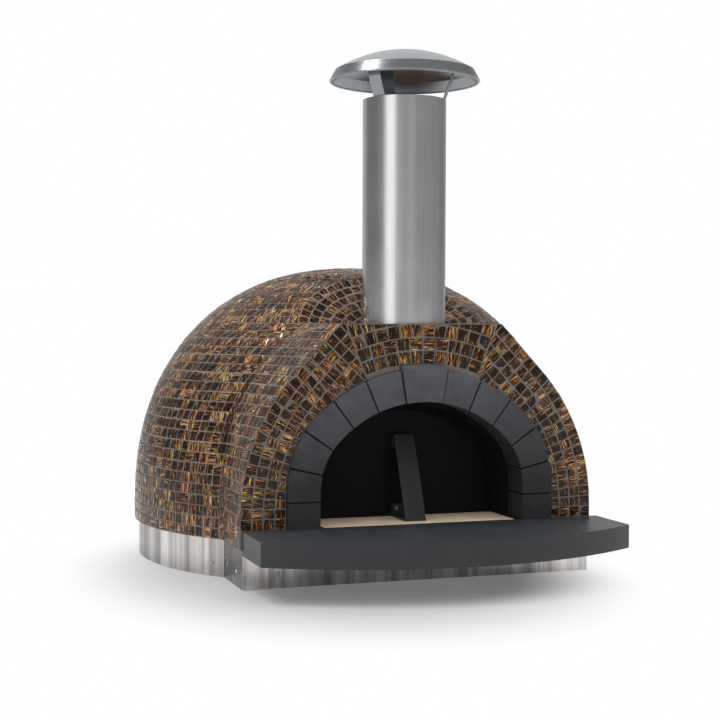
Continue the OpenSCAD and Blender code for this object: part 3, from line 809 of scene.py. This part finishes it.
def patch_tiles(sheet):
    """Rows on the leaning patch that follow its curved edge, from the edge inwards."""
    slope = math.sqrt(1 + PATCH_LEAN ** 2)
    lean = np.array([0, PATCH_LEAN, 1.0]) / slope
    foot = np.array([0, PATCH_Y, DECK_Z])
    # the patch's curved edge as (half width, distance up the slope), from below the deck upwards
    edge = []
    for k in range(-80, 400):
        rise = k * 0.5 * MM
        z = DECK_Z + rise / slope
        reach = dome_radius(z) ** 2 - (DOME_Y - patch_front(z)) ** 2
        if reach <= 0:
            break
        edge.append(np.array([math.sqrt(reach), rise]))
    edge.append(np.array([0.0, edge[-1][1]]))
    run = running_length(edge)

    def row_point(s, d):
        """A point of the edge a length s along it, moved inwards by d."""
        here = np.array([np.interp(s, run, [p[k] for p in edge]) for k in (0, 1)])
        span = 12 * MM
        a = np.array([np.interp(max(0, s - span), run, [p[k] for p in edge]) for k in (0, 1)])
        b = np.array([np.interp(min(run[-1], s + span), run, [p[k] for p in edge]) for k in (0, 1)])
        tangent = unit(b - a) if s < run[-1] - 1 * MM else np.array([-1.0, 0.0])
        return here + d * np.array([-tangent[1], tangent[0]])

    for row in range(PATCH_ROWS):
        d0, d1 = row * PITCH, (row + 1) * PITCH
        steps = np.linspace(0, run[-1], 60)
        middle = [row_point(s, (d0 + d1) / 2) for s in steps]
        length = running_length(middle)
        count = max(2, round(length[-1] / PITCH))
        joints = [float(np.interp(length[-1] * k / count, length, steps)) for k in range(count + 1)]
        for s0, s1 in zip(joints, joints[1:]):
            flat = [row_point(s0, d0), row_point(s1, d0), row_point(s1, d1), row_point(s0, d1)]
            turns = [np.cross(flat[k] - flat[k - 1], flat[(k + 1) % 4] - flat[k]) for k in range(4)]
            if min(turns) <= 0:
                continue
            for side in (1, -1):
                quad = [foot + np.array([side * p[0], 0, 0]) + lean * p[1] for p in flat]
                quad = clip(quad, lambda p: p[2] - DECK_Z)
                quad = clip(quad, lambda p: side * p[0]) if len(quad) > 2 else []
                quad = clip(quad, outside_pipe) if len(quad) > 2 else []
                if len(quad) > 2:
                    sheet.add(quad, np.array([0, -1.0, 1.0]), quad[1] - quad[0])


def outside_pipe(p):
    """How far a point lies outside the chimney."""
    return math.hypot(p[0], p[1] - PIPE_Y) - PIPE_R - EDGE_GAP


def outside_arch(p, off):
    """How far (x, z) lies outside the mouth's outline moved out by off."""
    x, z = abs(p[0]), p[2]
    a = math.atan2(z - CROWN_Z, x)
    if a > math.pi / 2 - CROWN_HALF:
        return math.hypot(x, z - CROWN_Z) - CROWN_R - off
    if z > HAUNCH_Z:
        return math.hypot(x - HAUNCH_X, z - HAUNCH_Z) - HAUNCH_R - off
    return x - MOUTH_HALF - off


def face_tiles():
    """Tiles that follow the outer edge of the face, and rings over the crown of the arch."""
    sheet = TileSheet()
    edge = STONE_H + EDGE_GAP
    leg = SHOULDER_Z - FLOOR_Z
    arc = SHOULDER_R * SHOULDER_TURN
    first_count = round((leg + arc) / PITCH)
    step = (leg + arc) / first_count
    front = np.array([0, -1.0, 0])

    def edge_point(t, d):
        """The point a length t up the face's edge, moved inwards by d."""
        if t < leg:
            return np.array([FACE_HALF - d, FACE_Y, FLOOR_Z + t])
        a = min(t - leg, arc) / SHOULDER_R
        more = max(0.0, t - leg - arc)
        r = SHOULDER_R - d
        return np.array([
            SHOULDER_X + r * math.cos(a) - more * math.sin(a), FACE_Y,
            SHOULDER_Z + r * math.sin(a) + more * math.cos(a)])

    def before_rings(p):
        """Positive on the side of the legs, negative where the rings take over."""
        return math.sin(RINGS_FROM) * p[0] - math.cos(RINGS_FROM) * (p[2] - CROWN_Z)

    limits = (
        lambda p: DECK_Z - p[2],
        lambda p: face_half_width(p[2]) - abs(p[0]),
        lambda p: outside_arch(p, edge))

    def place(quad, along, side):
        """Cuts a square to the face and adds it."""
        for limit in limits:
            quad = clip(quad, limit) if len(quad) > 2 else []
        if len(quad) > 2:
            quad = quad if side > 0 else mirrored(quad)
            sheet.add(quad, front, along * np.array([side, 1, 1]))

    for row in range(FACE_ROWS):
        for column in range(first_count + FACE_ROWS):
            t0, t1 = column * step, (column + 1) * step
            d0, d1 = row * FACE_PITCH, (row + 1) * FACE_PITCH
            quad = [edge_point(t0, d0), edge_point(t1, d0), edge_point(t1, d1), edge_point(t0, d1)]
            along = quad[1] - quad[0]
            quad = clip(quad, before_rings)
            if len(quad) > 2:
                for side in (1, -1):
                    place(list(quad), along, side)

    for row in range(RING_ROWS):
        inner = KEY_TOP - CROWN_Z + RING_PITCH * row
        outer = inner + RING_PITCH
        half_count = round((math.pi / 2 - RINGS_FROM) * (inner + outer) / 2 / RING_PITCH)
        swing = (math.pi / 2 - RINGS_FROM) / half_count
        for n in range(2 * half_count):
            a0, a1 = RINGS_FROM + n * swing, RINGS_FROM + (n + 1) * swing
            quad = [polar(inner, a0), polar(outer, a0), polar(outer, a1), polar(inner, a1)]
            place(quad, quad[3] - quad[0], 1)
    return sheet.build("face_tiles")


def polar(r, a):
    """A point of the face at radius r and angle a about the middle of the arch's crown curve."""
    return np.array([r * math.cos(a), FACE_Y, CROWN_Z + r * math.sin(a)])


# ------------------------------------------------------------------ CAD nodes

# Each node's slot, its material where that has another name, and the rounding of its edges in mm.
# The arch stones aren't listed, and share ARCH_STONE.
CAD_NODES = {
    "base_pan": ("galvanised", None, 0.5),
    "front_skirt": ("brushed_steel", "sheet_steel", 0.5),
    "base_slab": ("concrete", None, 0),
    "hearth_board": ("board", None, 0),
    "hearth_tiles": ("firebrick", None, 1.2),
    "landing_shelf": ("shelf", None, 2.4),
    "inner_dome": ("refractory", None, 0),
    "entry_vault": ("stone", "sooted", 0),
    "dome_blanket": ("blanket", None, 0),
    "outer_render": ("render", None, 0),
    "dome_mosaic": ("mosaic", "grout", 0),
    "deck_mosaic": ("mosaic", "grout", 0),
    "face_mosaic": ("mosaic", "grout", 0),
    "arch_mortar": ("mortar", None, 0),
    "flue_box": ("galvanised", None, 0),
    "flue_collar": ("galvanised", None, 0),
    "cap_straps": ("cap_steel", None, 0.4),
    "door_panel": ("door_black", None, 0.8),
    "door_core": ("board", None, 1.5),
    "door_strap": ("strap_black", None, 0.9),
    "door_bolts": ("fastener", None, 0.6),
    "base_screws": ("fastener", None, 0),
    "base_band": ("brushed_steel", "sheet_steel", 0.5),
    "chimney_pipe": ("brushed_steel", None, 0.4),
    "cap_hood": ("cap_steel", None, 0),
}
ARCH_STONE = ("stone", None, 2.2)


def dress_cad_nodes():
    """Gives every CAD node its material and rounded edges. The nodes of the mosaic are its grout."""
    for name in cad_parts:
        slot, material, edge = CAD_NODES.get(name, ARCH_STONE)
        node = finish(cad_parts[name], slot, material)
        if edge:
            bevel(node, edge * MM)


# ------------------------------------------------------------------ studio


def studio():
    """The pale floor, the backdrop and two soft lamps."""
    mesh = bpy.data.meshes.new("floor")
    far = FLOOR_REACH
    mesh.from_pydata([(-far, -far, 0), (far, -far, 0), (far, far, 0), (-far, far, 0)], [], [(0, 1, 2, 3)])
    floor = link(bpy.data.objects.new("floor", mesh))
    floor.location.z = -1 * MM
    floor.data.materials.append(floor_with_painted_shadow())
    backdrop()
    for name, values in LAMPS.items():
        lamp(name, *values)


def floor_with_painted_shadow():
    """A matt grey floor round the oven, a painted soft shadow that also takes the lamps' shadows and has a
    little painted glow, fading into the white backdrop away from the oven.
    """
    m = Material("floor")
    m.set(Base_Color=(0.40, 0.40, 0.40), Roughness=0.8, Specular_IOR_Level=0.1)
    shift = [-middle / half for middle, half in zip(FLOOR_MIDDLE, FLOOR_HALVES)]
    oval = m.place((*(1 / half for half in FLOOR_HALVES), 1), (*shift, 0))
    distance = m.add("VectorMath")
    distance.operation = "LENGTH"
    m.tree.links.new(oval, distance.inputs[0])
    white = m.add("Emission", Color=(1, 1, 1, 1), Strength=1.0)
    # painted shadow: grey lamp-lit floor inside the inner oval with a little painted glow, turning into plain
    # white glow outside the outer one
    fade = m.span(distance.outputs["Value"], FADE_FROM, FADE_TO, FLOOR_PAINTED_GLOW, 1.0, "SMOOTHSTEP")
    both = m.add("MixShader", Fac=fade)
    m.tree.links.new(m.shader.outputs[0], both.inputs[1])
    m.tree.links.new(white.outputs[0], both.inputs[2])
    m.tree.links.new(both.outputs[0], m.tree.nodes["Material Output"].inputs[0])
    return m.material


def lamp(name, place, target, side, power):
    """A square lamp that looks at target."""
    data = bpy.data.lights.new(name, "AREA")
    data.size, data.energy = side, power
    obj = link(bpy.data.objects.new(name, data))
    obj.location = place
    obj.rotation_euler = (Vector(target) - Vector(place)).to_track_quat("-Z", "Y").to_euler()


def backdrop():
    """A white studio: plain white to the camera, with soft walls and a bright ceiling for the light."""
    world = bpy.data.worlds.new("studio")
    world.use_nodes = True
    bpy.context.scene.world = world
    m = Nodes(world.node_tree)
    way = m.add("SeparateXYZ", Vector=m.add("TexCoord").outputs["Generated"])
    turn = m.math("ARCTAN2", way.outputs["Y"], way.outputs["X"])
    walls = m.add("FloatCurve", Value=m.math("FRACT", m.math("DIVIDE", turn, 2 * math.pi)))
    curve = walls.mapping.curves[0]
    while len(curve.points) < len(WALLS):
        curve.points.new(0.5, 0.5)
    # a curve's values stay within 0 to 1, so it holds half of each level
    for point, (at, level) in zip(curve.points, WALLS):
        point.location = (at, level / 2)
    walls.mapping.update()
    ray = m.add("LightPath").outputs
    level = m.math("MULTIPLY", walls.outputs[0], m.span(ray["Is Glossy Ray"], 0, 1, 2 * WALLS_LIT, 2))
    ceiling = m.span(ray["Is Glossy Ray"], 0, 1, CEILING, CEILING_SEEN)
    upwards = m.span(way.outputs["Z"], CEILING_FROM, CEILING_TO, kind="SMOOTHSTEP")
    light = m.blend(ray["Is Camera Ray"], m.blend(upwards, level, ceiling), 1.0)
    background = m.tree.nodes["Background"]
    background.inputs["Color"].default_value = (1, 1, 1, 1)
    m.tree.links.new(light, background.inputs["Strength"])


def camera():
    """The camera of the photo."""
    data = bpy.data.cameras.new("camera")
    data.lens = CAMERA_LENS
    data.sensor_width = CAMERA_SENSOR
    data.clip_end = 50
    cam = link(bpy.data.objects.new("camera", data))
    yaw, pitch, roll = (math.radians(a) for a in CAMERA_TURN)
    turn = Matrix.Rotation(yaw, 3, "Z") @ Matrix.Rotation(pitch, 3, "X") @ Matrix.Rotation(roll, 3, "Y")
    # a Blender camera looks down its own -Z with +Y up
    look = turn @ Matrix(((1, 0, 0), (0, 0, -1), (0, 1, 0)))
    cam.matrix_world = Matrix.Translation(CAMERA_PLACE) @ look.to_4x4()
    bpy.context.scene.camera = cam


# ------------------------------------------------------------------ build

dress_cad_nodes()
dome_tiles()
deck_tiles()
face_tiles()
studio()
camera()
bpy.context.scene.view_settings.view_transform = "Standard"
